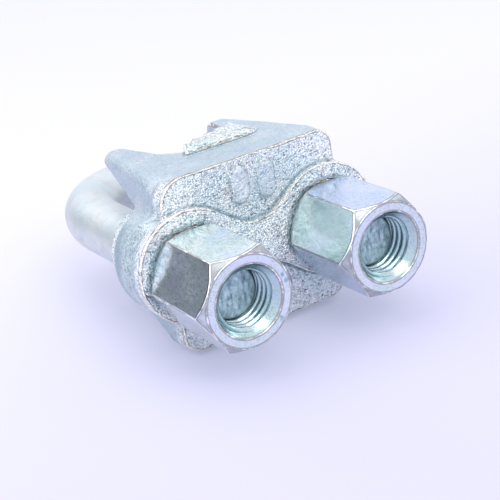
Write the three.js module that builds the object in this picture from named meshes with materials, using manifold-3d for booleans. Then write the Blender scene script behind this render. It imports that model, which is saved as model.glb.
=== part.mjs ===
// Wire rope clip (bulldog grip) for 28 mm rope: a cast saddle, a U-bolt with threaded
// legs and two thick hexagon nuts.
// Millimetres, +Z up. The clip lies on one end of its saddle, so the rope axis is
// vertical, the legs run along Y, the nuts face -Y and the bow is at +Y.
import * as THREE from 'three';
import { mergeVertices } from 'three/addons/utils/BufferGeometryUtils.js';
import Module from 'manifold-3d';

// ---- Driving dimensions ----
const LEG_SPACING = 51.7;
const BAR_RADIUS = 10;
const THREAD_SOLID_RADIUS = 8.9;
const BOLT_END_CHAMFER = 0.8;
const NUT_WIDTH_ACROSS_FLATS = 30;
const NUT_HEIGHT = 33;
const SADDLE_HALF_LENGTH = 29.4;
const END_FACE_DRAFT = 0.056;
const LIP_HEIGHT = 2.5;

// Lengths along the legs, measured back from the seats that the nuts bear on.
const BOLT_END = -22.8;
const PAD_FACE = 1.9;
const THREAD_LENGTH = 35;
const BARREL_STRAIGHT = 18;
const BARREL_BACK = 24;
const FLANK_TAPER_START = 12;
const BED_CENTRE = 41.5;
const HORN_SHOULDER = 51;
const HORN_TIP = 59;
const BOW_START = 68;
const BOW_DEPTH = 32;

// Saddle section.
const PAD_HALF_WIDTH = 32.6;
const PAD_CORNER_RADIUS = 9.2;
const BOSS_RADIUS = 19;
const BARREL_BACK_RADIUS = 17;
const WEB_HALF_HEIGHT = 8;
const BED_RADIUS = 14.2;
const LEG_HOLE_RADIUS = 12.5;
const HORN_OUTER_X = 25.6;
const HORN_INNER_X = 15.4;
const HORN_CORNER_INSET = 1;
const NOTCH_ROOT_HALF = 13.5;
const NOTCH_TIP_HALF = 21.5;
const NOTCH_INNER_X = 13;

// The lip that ends the rope bed is an ellipse in plan. It leans to one side with the
// lay of the rope, the opposite way at the other end face.
const LIP_HALF_WIDTH = 14;
const LIP_HALF_DEPTH = 8;
const LIP_MIDDLE = 28.5;
const LIP_SHIFT = 6;

// Nut details.
const NUT_BORE_RADIUS = 9.2;
const NUT_MOUTH_RADIUS = 11;
const NUT_FACE_RADIUS = 14.6;
const NUT_SEAT_RADIUS = 15;
const NUT_GAP = 0.3;
const CHAMFER_SLOPE = Math.tan(THREE.MathUtils.degToRad(30));
const NUT_LEFT_CORNER_DEG = 62.3;
const NUT_RIGHT_CORNER_DEG = 63;

// Heights. The legs have dropped in their oversize holes, so their axis is a little
// below the middle of the saddle.
const END_FACE_AT_LIP = SADDLE_HALF_LENGTH - END_FACE_DRAFT * (LIP_MIDDLE - LIP_HALF_DEPTH);
const SADDLE_MIDDLE_Z = END_FACE_AT_LIP + LIP_HEIGHT;
const LEG_DROP = 2.2;
const LEG_Z = SADDLE_MIDDLE_Z - LEG_DROP;
const LEG_X = LEG_SPACING / 2;

// The origin is under the middle of the whole clip, so the seats lie this far along Y.
const BOW_BACK = BOW_START + BOW_DEPTH + BAR_RADIUS;
const NUT_FRONT = -NUT_HEIGHT - NUT_GAP;
const SEAT_Y = -(BOW_BACK + NUT_FRONT) / 2;

// How finely curves are divided.
const ROUND_SEGMENTS = 48;
const PLAN_CURVE_SEGMENTS = 20;
const CORNER_CURVE_SEGMENTS = 8;
const BAR_CURVE_SEGMENTS = 12;
const BAR_STEPS = 72;
const WELD_TOLERANCE = 1e-4;

// Cutting shapes run past the stock by the overshoot, and joined shapes share the overlap.
const OVERSHOOT = 5;
const OVERLAP = 1;

const wasm = await Module();
wasm.setup();

// ---- Solid helpers ----
function toSolid(geometry) {
  const plain = geometry.index ? geometry.toNonIndexed() : geometry.clone();
  plain.deleteAttribute('normal');
  plain.deleteAttribute('uv');
  const merged = mergeVertices(plain, WELD_TOLERANCE);
  return new wasm.Manifold(new wasm.Mesh({
    numProp: 3,
    vertProperties: new Float32Array(merged.attributes.position.array),
    triVerts: new Uint32Array(merged.index.array),
  }));
}

function toGeometry(solid) {
  const mesh = solid.getMesh();
  const geometry = new THREE.BufferGeometry();
  geometry.setAttribute('position', new THREE.BufferAttribute(new Float32Array(mesh.vertProperties), 3));
  geometry.setIndex(Array.from(mesh.triVerts));
  geometry.computeVertexNormals();
  return geometry;
}

function place(geometry, x, y, z) {
  return geometry.applyMatrix4(new THREE.Matrix4().makeTranslation(x, y, z));
}

// A solid of revolution about an axis along Y. Profile points are [radius, y].
function turnedAlongY(profile) {
  const points = profile.map(([radius, y]) => new THREE.Vector2(radius, y));
  return new THREE.LatheGeometry(points, ROUND_SEGMENTS);
}

// A shape drawn as (x, y) and raised along Z from a low to a high level.
function raisedAlongZ(shape, low, high) {
  const settings = { depth: high - low, bevelEnabled: false, curveSegments: PLAN_CURVE_SEGMENTS };
  return place(new THREE.ExtrudeGeometry(shape, settings), 0, 0, low);
}

// A shape drawn as (x, z) and extended along Y from front to back.
function extendedAlongY(shape, front, back) {
  const settings = { depth: back - front, bevelEnabled: false, curveSegments: CORNER_CURVE_SEGMENTS };
  const geometry = new THREE.ExtrudeGeometry(shape, settings);
  geometry.rotateX(Math.PI / 2);
  return place(geometry, 0, back, 0);
}

function boxBetween(low, high) {
  const size = high.map((value, axis) => value - low[axis]);
  const middle = high.map((value, axis) => (value + low[axis]) / 2);
  return place(new THREE.BoxGeometry(...size), ...middle);
}

// ---- Saddle ----
// Plan of the saddle seen along the rope: pad at the front, tapered flanks, and two
// horns on either side of the round rope bed.
function saddlePlan() {
  const hornMiddleX = (HORN_OUTER_X + HORN_INNER_X) / 2;
  const plan = new THREE.Shape();
  plan.moveTo(-PAD_HALF_WIDTH, PAD_FACE);
  plan.lineTo(PAD_HALF_WIDTH, PAD_FACE);
  plan.lineTo(PAD_HALF_WIDTH, FLANK_TAPER_START);
  plan.lineTo(HORN_OUTER_X, HORN_SHOULDER);
  plan.quadraticCurveTo(HORN_OUTER_X - HORN_CORNER_INSET, HORN_TIP, hornMiddleX, HORN_TIP);
  plan.quadraticCurveTo(HORN_INNER_X + HORN_CORNER_INSET, HORN_TIP, HORN_INNER_X, HORN_SHOULDER);
  plan.lineTo(BED_RADIUS, BED_CENTRE);
  plan.absarc(0, BED_CENTRE, BED_RADIUS, 0, Math.PI, true);
  plan.lineTo(-HORN_INNER_X, HORN_SHOULDER);
  plan.quadraticCurveTo(-HORN_INNER_X - HORN_CORNER_INSET, HORN_TIP, -hornMiddleX, HORN_TIP);
  plan.quadraticCurveTo(-HORN_OUTER_X + HORN_CORNER_INSET, HORN_TIP, -HORN_OUTER_X, HORN_SHOULDER);
  plan.lineTo(-PAD_HALF_WIDTH, FLANK_TAPER_START);
  plan.closePath();
  return plan;
}

// Front view of the pad: a rectangle with round corners.
function padOutline() {
  const w = PAD_HALF_WIDTH;
  const h = SADDLE_HALF_LENGTH;
  const r = PAD_CORNER_RADIUS;
  const outline = new THREE.Shape();
  outline.absarc(w - r, h - r, r, 0, Math.PI / 2, false);
  outline.absarc(-w + r, h - r, r, Math.PI / 2, Math.PI, false);
  outline.absarc(-w + r, -h + r, r, Math.PI, 1.5 * Math.PI, false);
  outline.absarc(w - r, -h + r, r, 1.5 * Math.PI, 2 * Math.PI, false);
  outline.closePath();
  return outline;
}

// Side view of the block, drawn as (z, y): both end faces lean in towards the horns.
function draftSolid() {
  const width = 2 * (PAD_HALF_WIDTH + OVERSHOOT);
  const back = HORN_TIP + OVERSHOOT;
  const backHalf = SADDLE_HALF_LENGTH - END_FACE_DRAFT * back;
  const outline = new THREE.Shape();
  outline.moveTo(-SADDLE_HALF_LENGTH, 0);
  outline.lineTo(SADDLE_HALF_LENGTH, 0);
  outline.lineTo(backHalf, back);
  outline.lineTo(-backHalf, back);
  outline.closePath();
  const geometry = new THREE.ExtrudeGeometry(outline, { depth: width, bevelEnabled: false });
  geometry.rotateY(-Math.PI / 2);
  return toSolid(place(geometry, width / 2, 0, 0));
}

// The raised lip that ends the rope bed, at the upper (+1) or lower (-1) end face.
function lipSolid(end) {
  const plan = new THREE.Shape();
  const middleX = end * LIP_SHIFT;
  plan.absellipse(middleX, LIP_MIDDLE, LIP_HALF_WIDTH, LIP_HALF_DEPTH, 0, 2 * Math.PI, false, 0);
  const inner = end * (SADDLE_HALF_LENGTH / 2);
  const outer = end * SADDLE_MIDDLE_Z;
  const lens = raisedAlongZ(plan, Math.min(inner, outer), Math.max(inner, outer));
  const bed = new THREE.Shape();
  bed.absarc(0, BED_CENTRE, BED_RADIUS, 0, 2 * Math.PI, false);
  const bedCut = raisedAlongZ(bed, -SADDLE_MIDDLE_Z - OVERSHOOT, SADDLE_MIDDLE_Z + OVERSHOOT);
  return toSolid(lens).subtract(toSolid(bedCut));
}

// Side opening that lets the leg out behind its barrel, drawn as (z, y).
function notchSolid(side) {
  const beyond = HORN_TIP + OVERSHOOT;
  const slope = (NOTCH_TIP_HALF - NOTCH_ROOT_HALF) / (HORN_TIP - BARREL_BACK);
  const half = NOTCH_TIP_HALF + slope * OVERSHOOT;
  const outline = new THREE.Shape();
  outline.moveTo(-NOTCH_ROOT_HALF, BARREL_BACK);
  outline.lineTo(NOTCH_ROOT_HALF, BARREL_BACK);
  outline.lineTo(half, beyond);
  outline.lineTo(-half, beyond);
  outline.closePath();
  const width = PAD_HALF_WIDTH + OVERSHOOT - NOTCH_INNER_X;
  const geometry = new THREE.ExtrudeGeometry(outline, { depth: width, bevelEnabled: false });
  geometry.rotateY(-Math.PI / 2);
  const x = side > 0 ? NOTCH_INNER_X + width : -NOTCH_INNER_X;
  return toSolid(place(geometry, x, 0, 0));
}

function legHole(side) {
  const profile = [
    [0, -OVERSHOOT],
    [LEG_HOLE_RADIUS, -OVERSHOOT],
    [LEG_HOLE_RADIUS, HORN_TIP + OVERSHOOT],
    [0, HORN_TIP + OVERSHOOT],
  ];
  return toSolid(place(turnedAlongY(profile), side * LEG_X, 0, 0));
}

function barrel(side) {
  const profile = [
    [0, 0],
    [BOSS_RADIUS, 0],
    [BOSS_RADIUS, BARREL_STRAIGHT],
    [BARREL_BACK_RADIUS, BARREL_BACK],
    [0, BARREL_BACK],
  ];
  return toSolid(place(turnedAlongY(profile), side * LEG_X, 0, 0));
}

function saddleGeometry() {
  const block = toSolid(raisedAlongZ(saddlePlan(), -SADDLE_HALF_LENGTH, SADDLE_HALF_LENGTH));
  const corners = toSolid(extendedAlongY(padOutline(), 0, HORN_TIP + OVERSHOOT));
  const webLow = [-LEG_X, 0, -WEB_HALF_HEIGHT];
  const webHigh = [LEG_X, PAD_FACE + OVERLAP, WEB_HALF_HEIGHT];
  let solid = block.intersect(corners).intersect(draftSolid());
  solid = solid.add(toSolid(boxBetween(webLow, webHigh))).add(lipSolid(1)).add(lipSolid(-1));
  for (const side of [-1, 1]) {
    solid = solid.subtract(notchSolid(side)).add(barrel(side)).subtract(legHole(side));
  }
  return toGeometry(solid);
}

// ---- U-bolt ----
// Half an ellipse from one leg, round the bow, to the other leg.
class BowCurve extends THREE.Curve {
  getPoint(t, target = new THREE.Vector3()) {
    const angle = Math.PI * t;
    return target.set(-LEG_X * Math.cos(angle), BOW_START + BOW_DEPTH * Math.sin(angle), 0);
  }
}

function uBoltGeometry() {
  const threadEnd = BOLT_END + THREAD_LENGTH;
  const path = new THREE.CurvePath();
  path.add(new THREE.LineCurve3(
    new THREE.Vector3(-LEG_X, threadEnd, 0),
    new THREE.Vector3(-LEG_X, BOW_START, 0),
  ));
  path.add(new BowCurve());
  path.add(new THREE.LineCurve3(
    new THREE.Vector3(LEG_X, BOW_START, 0),
    new THREE.Vector3(LEG_X, threadEnd, 0),
  ));
  const section = new THREE.Shape();
  section.absarc(0, 0, BAR_RADIUS, 0, 2 * Math.PI, false);
  const settings = { steps: BAR_STEPS, curveSegments: BAR_CURVE_SEGMENTS, extrudePath: path };
  let solid = toSolid(new THREE.ExtrudeGeometry(section, settings));
  for (const side of [-1, 1]) {
    const profile = [
      [0, BOLT_END],
      [THREAD_SOLID_RADIUS - BOLT_END_CHAMFER, BOLT_END],
      [THREAD_SOLID_RADIUS, BOLT_END + BOLT_END_CHAMFER],
      [THREAD_SOLID_RADIUS, threadEnd + OVERLAP],
      [0, threadEnd + OVERLAP],
    ];
    solid = solid.add(toSolid(place(turnedAlongY(profile), side * LEG_X, 0, 0)));
  }
  return toGeometry(solid);
}

// ---- Nuts ----
// The nut's seat is at y = 0 and its outer face at y = -NUT_HEIGHT.
function nutGeometry(cornerDeg) {
  const cornerRadius = NUT_WIDTH_ACROSS_FLATS / Math.sqrt(3);
  const hexagon = new THREE.Shape();
  for (let corner = 0; corner < 6; corner += 1) {
    const angle = THREE.MathUtils.degToRad(cornerDeg + 60 * corner);
    const x = cornerRadius * Math.cos(angle);
    const z = cornerRadius * Math.sin(angle);
    if (corner === 0) {
      hexagon.moveTo(x, z);
    } else {
      hexagon.lineTo(x, z);
    }
  }
  hexagon.closePath();
  const prism = extendedAlongY(hexagon, -NUT_HEIGHT, 0);
  const reach = cornerRadius + OVERLAP;
  const chamfers = [
    [0, -NUT_HEIGHT],
    [NUT_FACE_RADIUS, -NUT_HEIGHT],
    [reach, -NUT_HEIGHT + (reach - NUT_FACE_RADIUS) * CHAMFER_SLOPE],
    [reach, -(reach - NUT_SEAT_RADIUS) * CHAMFER_SLOPE],
    [NUT_SEAT_RADIUS, 0],
    [0, 0],
  ];
  const mouthDepth = NUT_MOUTH_RADIUS - NUT_BORE_RADIUS;
  const bore = [
    [0, -NUT_HEIGHT - OVERLAP],
    [NUT_MOUTH_RADIUS, -NUT_HEIGHT - OVERLAP],
    [NUT_MOUTH_RADIUS, -NUT_HEIGHT],
    [NUT_BORE_RADIUS, -NUT_HEIGHT + mouthDepth],
    [NUT_BORE_RADIUS, -mouthDepth],
    [NUT_MOUTH_RADIUS, 0],
    [NUT_MOUTH_RADIUS, OVERLAP],
    [0, OVERLAP],
  ];
  const body = toSolid(prism).intersect(toSolid(turnedAlongY(chamfers)));
  return toGeometry(body.subtract(toSolid(turnedAlongY(bore))));
}

// ---- Assembly ----
const METALNESS = 0.9;

function namedMesh(name, geometry, color, roughness) {
  const material = new THREE.MeshStandardMaterial({ color, roughness, metalness: METALNESS });
  material.name = name;
  const mesh = new THREE.Mesh(geometry, material);
  mesh.name = name;
  return mesh;
}

const clip = new THREE.Group();
clip.position.y = SEAT_Y;

const saddle = namedMesh('saddle', saddleGeometry(), 0xb4c8d2, 0.5);
saddle.position.z = SADDLE_MIDDLE_Z;
clip.add(saddle);

const uBolt = namedMesh('u_bolt', uBoltGeometry(), 0xc3c8d2, 0.4);
uBolt.position.z = LEG_Z;
clip.add(uBolt);

const nutLeft = namedMesh('nut_left', nutGeometry(NUT_LEFT_CORNER_DEG), 0xa9c0c8, 0.2);
nutLeft.position.set(-LEG_X, -NUT_GAP, LEG_Z);
clip.add(nutLeft);

const nutRight = namedMesh('nut_right', nutGeometry(NUT_RIGHT_CORNER_DEG), 0xa9c0c8, 0.2);
nutRight.position.set(LEG_X, -NUT_GAP, LEG_Z);
clip.add(nutRight);

const group = new THREE.Group();
group.add(clip);

export default group;
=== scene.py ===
"""A U-bolt wire rope clip: rough cast saddle, bent U-bolt and two thick hexagon nuts, zinc plated."""

import math

import bpy
import numpy as np
from mathutils import Matrix, Vector


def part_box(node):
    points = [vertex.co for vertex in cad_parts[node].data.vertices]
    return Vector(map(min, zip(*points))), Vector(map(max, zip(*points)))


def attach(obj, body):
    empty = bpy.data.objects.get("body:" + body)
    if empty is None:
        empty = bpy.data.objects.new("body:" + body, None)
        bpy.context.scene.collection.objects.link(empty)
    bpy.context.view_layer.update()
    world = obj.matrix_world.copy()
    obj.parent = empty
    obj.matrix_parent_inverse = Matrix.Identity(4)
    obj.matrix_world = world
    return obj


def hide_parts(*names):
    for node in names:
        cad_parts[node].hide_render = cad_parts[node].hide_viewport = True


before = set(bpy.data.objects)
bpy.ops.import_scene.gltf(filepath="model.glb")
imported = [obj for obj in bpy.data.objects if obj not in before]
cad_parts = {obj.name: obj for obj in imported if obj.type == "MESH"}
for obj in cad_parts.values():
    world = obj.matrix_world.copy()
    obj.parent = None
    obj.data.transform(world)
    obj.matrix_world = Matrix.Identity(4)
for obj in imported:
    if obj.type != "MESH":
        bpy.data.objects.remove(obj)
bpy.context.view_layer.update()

# ---- Sizes from the frame, in millimetres ----
MM = 0.001


def node_box(node):
    low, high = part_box(node)
    return np.array(low) / MM, np.array(high) / MM


SADDLE_LOW, SADDLE_HIGH = node_box("saddle")
BOLT_LOW, BOLT_HIGH = node_box("u_bolt")
NUT_LOW, NUT_HIGH = node_box("nut_right")
NUT_GAP = 0.3
LEG_X = (NUT_LOW[0] + NUT_HIGH[0]) / 2
LEG_Z = (NUT_LOW[2] + NUT_HIGH[2]) / 2
SEAT_Y = SADDLE_LOW[1]
NUT_HEIGHT = NUT_HIGH[1] - NUT_LOW[1]
BAR_RADIUS = (BOLT_HIGH[2] - BOLT_LOW[2]) / 2
BOLT_END = BOLT_LOW[1] - SEAT_Y
BOW_BACK = BOLT_HIGH[1] - SEAT_Y
SADDLE_MIDDLE_Z = (SADDLE_LOW[2] + SADDLE_HIGH[2]) / 2
BOSS_RADIUS = SADDLE_HIGH[0] - LEG_X
LIP_TOP = SADDLE_HIGH[2] - SADDLE_MIDDLE_Z
HORN_TIP = SADDLE_HIGH[1] - SEAT_Y
LEG_DROP = SADDLE_MIDDLE_Z - LEG_Z

# ---- Other sizes, in millimetres ----
# x runs across the legs, y back from the seats towards the bow, z up from the middle of the piece.
# Pad, end faces, flanks and horns of the saddle.
HALF_LENGTH = 29.4
END_FACE_DRAFT = 0.056
FULLER_END = 0.6
PAD_FACE = 1.9
PAD_EDGE = 0.55
PAD_HALF_WIDTH = 32.6
PAD_CORNER_FRONT = 9.2
PAD_CORNER_BACK = 4.2
PAD_CORNER_DEPTH = 20
FULLER_CORNER_LESS = 3.0
FULLER_CORNER_NEARER = 8
FLANK_TAPER_START = 12
FLANK_TAPER = 7 / 39
HORN_EXTRA = 3.4
HORN_LENGTH_DIFFERENCE = 4.4
HORN_ROUND = 4.0
# Barrels, the web between them and what is cut into them.
BARREL_STRAIGHT = 18
BARREL_BACK = 24
BARREL_TAPER = 2
BARREL_BACK_ROUND = 3.2
WEB_HALF_HEIGHT = 8
WEB_DEPTH = 6
WEB_FILLET = 7
SEAT_EDGE = 0.6
LEG_HOLE_RADIUS = 12.5
BEAD_THICKNESS = 1.9
BEAD_LENGTH = 4.6
NOTCH_ROOT_HALF = 13.5
NOTCH_SLOPE = 8 / 35
NOTCH_INNER_X = 13
NOTCH_CORNER = 3.0
# Rope bed, lips and size mark.
BED_MIDDLE = 41.5
BED_RADIUS = 14.2
BED_CLEARANCE = 0.25
BED_OPENING_SLOPE = 0.126
ROPE_LAY = 182
ROPE_STRANDS = 6
STRAND_DEPTH = 0.45
LIP_FRONT = 21.3
LIP_BACK = 26.6
LIP_LEFT = 11.4
LIP_RIGHT = 20.4
LIP_RISE = 0.9
LIP_SLOPE = 0.42
SCALLOP_PITCH = 5.8
SCALLOP_DEPTH = 2.1
MARK_PLACES = ((-4.2, 20.6), (5.6, 20.0))
MARK_HALF_HEIGHT = 3.2
MARK_RADIUS = 3.1
MARK_RELIEF = 1.5
MARK_ROUND = 1.2
# Thread and U-bolt.
THREAD_PITCH = 2.5
THREAD_STEPS = 13
THREAD_END = 12.2
THREAD_ROOT = 8.5
THREAD_CREST = 9.85
PLAIN_RADIUS = BAR_RADIUS - 0.06
BOW_START = 68
AROUND_BAR = 72
CAP_RINGS = 16
# Nuts.
WIDTH_ACROSS_FLATS = 30
NUT_FACE_RADIUS = 14.75
NUT_SEAT_RADIUS = 15
NUT_MOUTH_RADIUS = 11.6
COUNTERSINK_RADIUS = NUT_MOUTH_RADIUS - 0.6
COUNTERSINK_DEPTH = 0.75
CORNER_ROUND = 1.1
CHAMFER_STEEPNESS = 1.3
PROFILE_ROUNDS = (0, 0.35, 0.5, 0.8, 0.6, 0.3, 0.3, 0)
ROUND_STEPS = 4
NICKS = 22
# Radius, direction in degrees and size of each knock on the face of the left nut.
FACE_KNOCKS = ((13.5, 10, 0.95), (13.1, 20, 0.9), (13.6, -43, 0.8), (12.6, -42, 0.7))

GRID_STEP = 0.5
INSIDE_BOX = 0.02
RANDOM_SEED = 28


# ---- Numbers on points ----
def smoothstep(low, high, value):
    t = np.clip((value - low) / (high - low), 0, 1)
    return t * t * (3 - 2 * t)


def lattice_noise(points, size, seed):
    """Smooth noise from -1 to 1 whose features are about size millimetres across."""
    table = np.random.default_rng(RANDOM_SEED + seed).uniform(-1, 1, 4096)
    q = points / size
    base = np.floor(q).astype(np.int64)
    t = q - base
    t = t * t * (3 - 2 * t)
    total = np.zeros(len(points))
    for corner in range(8):
        step = np.array([corner & 1, corner >> 1 & 1, corner >> 2 & 1])
        cell = base + step
        key = (cell[:, 0] * 73856093) ^ (cell[:, 1] * 19349663) ^ (cell[:, 2] * 83492791)
        weight = np.prod(np.where(step, t, 1 - t), axis=1)
        total += weight * table[key % 4096]
    return total


def meet(a, b, radius):
    """Intersection of two signed distances, its edge rounded."""
    u = np.maximum(a + radius, 0)
    v = np.maximum(b + radius, 0)
    return np.minimum(np.maximum(a, b), -radius) + np.hypot(u, v)


def join(a, b, radius):
    """Union of two signed distances, its inner corner filled to a radius."""
    u = np.maximum(radius - a, 0)
    v = np.maximum(radius - b, 0)
    return np.maximum(np.minimum(a, b), radius) - np.hypot(u, v)


# ---- Saddle ----
def end_half_height(y, u):
    """Height of an end face above the middle. u is x at the upper end and -x at the lower one."""
    return HALF_LENGTH - END_FACE_DRAFT * y + FULLER_END * smoothstep(8, 24, u)


def block_distance(x, y, z):
    """Pad, flanks and horns, before the bed, barrels and side openings."""
    side = np.sign(x)
    ax, az = np.abs(x), np.abs(z)
    half_width = PAD_HALF_WIDTH - FLANK_TAPER * np.maximum(y - FLANK_TAPER_START, 0)
    fuller = np.where(x * z > 0, 1.0, 0.0) * smoothstep(0, 6, ax)
    front_corner = PAD_CORNER_FRONT - FULLER_CORNER_LESS * fuller
    settled = smoothstep(PAD_FACE, PAD_CORNER_DEPTH - FULLER_CORNER_NEARER * fuller, y)
    corner = front_corner + (PAD_CORNER_BACK - front_corner) * settled
    across = meet(ax - half_width, az - end_half_height(y, x * np.sign(z)), corner)
    tip = HORN_TIP + HORN_EXTRA - HORN_LENGTH_DIFFERENCE / 2 * (1 + side)
    return meet(meet(across, PAD_FACE - y, PAD_EDGE), y - tip, HORN_ROUND)


def bed_distance(x, y, z):
    """The rope's bed, wavy where the strands of the rope lie in it."""
    turn = np.arctan2(x, BED_MIDDLE - y)
    strands = np.cos(ROPE_STRANDS * (turn + 2 * math.pi * z / ROPE_LAY))
    radius = BED_RADIUS + BED_CLEARANCE + STRAND_DEPTH * strands
    round_part = np.hypot(x, y - BED_MIDDLE) - radius
    opening = np.abs(x) - BED_RADIUS - BED_OPENING_SLOPE * (y - BED_MIDDLE)
    blend = smoothstep(BED_MIDDLE - 1, BED_MIDDLE + 5, y)
    return round_part * (1 - blend) + opening * blend


def notch_distance(x, y, z):
    """The opening on each side between the upper and the lower horn."""
    half = NOTCH_ROOT_HALF + NOTCH_SLOPE * (y - BARREL_BACK)
    walls = meet(np.abs(z) - half, BARREL_BACK - y, NOTCH_CORNER)
    return np.maximum(walls, NOTCH_INNER_X - np.abs(x))


def seats_distance(x, y, z):
    """The two barrels, whose round front faces the nuts bear on, and the web that joins them."""
    ax, az = np.abs(x), np.abs(z)
    taper = BARREL_TAPER * smoothstep(BARREL_STRAIGHT - 2, BARREL_BACK, y)
    barrel = np.hypot(ax - LEG_X, z) - BOSS_RADIUS + taper
    web = np.maximum(np.maximum(az - WEB_HALF_HEIGHT, ax - LEG_X), y - WEB_DEPTH)
    outline = join(barrel, web, WEB_FILLET)
    return meet(meet(outline, -y, SEAT_EDGE), y - BARREL_BACK, BARREL_BACK_ROUND)


def mark_outline(x, z):
    """Signed distance to the outlines of two blank pills where a casting carries its size."""
    outlines = []
    for middle_x, middle_z in MARK_PLACES:
        along = np.clip(z - middle_z, -MARK_HALF_HEIGHT, MARK_HALF_HEIGHT)
        outlines.append(np.hypot(x - middle_x, z - middle_z - along) - MARK_RADIUS)
    return np.minimum(*outlines)


def size_mark_distance(x, y, z):
    """The two pills, raised from the pad, with their roots inside it."""
    raised = meet(mark_outline(x, z), PAD_FACE - MARK_RELIEF - y, MARK_ROUND)
    return np.maximum(raised, y - PAD_FACE - 1)


def lip_distance(x, y, z):
    """The rough lip at the end of the bed: straight in front, scalloped where the strands leave it."""
    end = np.where(z < 0, -1.0, 1.0)
    u = x * end
    past = y - LIP_FRONT
    scallop = np.abs(np.sin(math.pi * (u + 6.6) / SCALLOP_PITCH))
    back = y - LIP_BACK - 0.40 * (u + 7) - SCALLOP_DEPTH * scallop
    left = -LIP_LEFT + LIP_SLOPE * past - u
    right = u - LIP_RIGHT + 0.33 * past
    height = end_half_height(LIP_FRONT, u) + LIP_RISE + LIP_SLOPE * past
    top = np.abs(z) - np.minimum(height, LIP_TOP - 0.05)
    top = top + 2.0 * smoothstep(13, 20, u)
    plan = meet(meet(-past, back, 1.0), meet(left, right, 1.0), 1.0)
    return np.maximum(meet(plan, top, 0.8), HALF_LENGTH - 6 - np.abs(z))


def bead_distance(x, y, z):
    """A bead of zinc behind each barrel, thickest on the outer side of its leg hole."""
    from_axis = np.hypot(np.abs(x) - LEG_X, z)
    thickness = BEAD_THICKNESS * smoothstep(-8, 4, np.abs(x) - LEG_X)
    past_end = y - np.clip(y, BARREL_BACK, BARREL_BACK + BEAD_LENGTH)
    return np.hypot(from_axis - LEG_HOLE_RADIUS - 0.3, past_end) - thickness


def saddle_distance(p):
    """The whole casting. Each last value is the radius of the edge or corner made by that step."""
    x, y, z = p[:, 0], p[:, 1], p[:, 2]
    solid = block_distance(x, y, z)
    solid = meet(solid, -bed_distance(x, y, z), 1.2)
    solid = join(solid, lip_distance(x, y, z), 0.6)
    solid = meet(solid, -notch_distance(x, y, z), 1.6)
    solid = join(solid, seats_distance(x, y, z), 0.7 + 3.4 * smoothstep(2, 12, y))
    solid = join(solid, size_mark_distance(x, y, z), 0.45)
    solid = join(solid, bead_distance(x, y, z), 0.5)
    hole = np.hypot(np.abs(x) - LEG_X, z) - LEG_HOLE_RADIUS
    return meet(solid, -hole, 0.7)


def gradient(distance, p, step=0.15):
    rows = []
    for axis in range(3):
        shift = np.zeros(3)
        shift[axis] = step
        rows.append((distance(p + shift) - distance(p - shift)) / (2 * step))
    return np.stack(rows, axis=1)


def edge_sharpness(distance, p, normal, reach):
    """Above 0 on outer edges and below 0 in inner corners, from the distances at four places beside p."""
    upright = np.abs(normal[:, 2:3]) < 0.9
    helper = np.where(upright, [[0.0, 0.0, 1.0]], [[1.0, 0.0, 0.0]])
    first = np.cross(normal, helper)
    first /= np.linalg.norm(first, axis=1)[:, None]
    second = np.cross(normal, first)
    total = np.zeros(len(p))
    for direction in (first, -first, second, -second):
        total += distance(p + direction * reach)
    return total / reach


def surface_nets(distance, low, high, step):
    """Vertices and quads of the surface where distance is 0."""
    axes = [np.arange(a, b + step, step) for a, b in zip(low, high)]
    shape = [len(a) for a in axes]
    grid = np.stack(np.meshgrid(*axes, indexing="ij"), axis=-1).reshape(-1, 3)
    field = np.concatenate([distance(part) for part in np.array_split(grid, 24)])
    field = field.reshape(shape)
    inside = field < 0
    corners = [(i, j, k) for i in (0, 1) for j in (0, 1) for k in (0, 1)]

    def corner_view(values, c):
        return values[tuple(slice(o, n - 1 + o) for o, n in zip(c, shape))]

    count = sum(corner_view(inside, c).astype(np.int8) for c in corners)
    cells = np.argwhere((count > 0) & (count < 8))
    total = np.zeros((len(cells), 3))
    hits = np.zeros(len(cells))
    for a in corners:
        for axis in range(3):
            if a[axis]:
                continue
            b = tuple(v + (i == axis) for i, v in enumerate(a))
            fa = field[tuple((cells + a).T)]
            fb = field[tuple((cells + b).T)]
            crossing = (fa < 0) != (fb < 0)
            t = np.where(crossing, fa / np.where(crossing, fa - fb, 1), 0)
            point = np.tile(np.array(a, float), (len(cells), 1))
            point[:, axis] = t
            total += point * crossing[:, None]
            hits += crossing
    vertices = np.array(low) + step * (cells + total / hits[:, None])
    number = np.full([n - 1 for n in shape], -1, np.int64)
    number[tuple(cells.T)] = np.arange(len(cells))
    quads = []
    for axis in range(3):
        first, second = (axis + 1) % 3, (axis + 2) % 3
        cut_low = [slice(1, n - 1) for n in shape]
        cut_high = list(cut_low)
        cut_low[axis] = slice(0, shape[axis] - 1)
        cut_high[axis] = slice(1, shape[axis])
        edge_in = inside[tuple(cut_low)]
        edge_out = inside[tuple(cut_high)]
        start = np.array([s.start for s in cut_low])
        for outward in (True, False):
            mask = (edge_in & ~edge_out) if outward else (~edge_in & edge_out)
            at = np.argwhere(mask) + start
            ring = []
            for i, j in ((0, 0), (1, 0), (1, 1), (0, 1)):
                cell = at.copy()
                cell[:, first] -= 1 - i
                cell[:, second] -= 1 - j
                ring.append(number[tuple(cell.T)])
            faces = np.stack(ring, axis=1)
            quads.append(faces if outward else faces[:, ::-1])
    return vertices, np.concatenate(quads)


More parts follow.
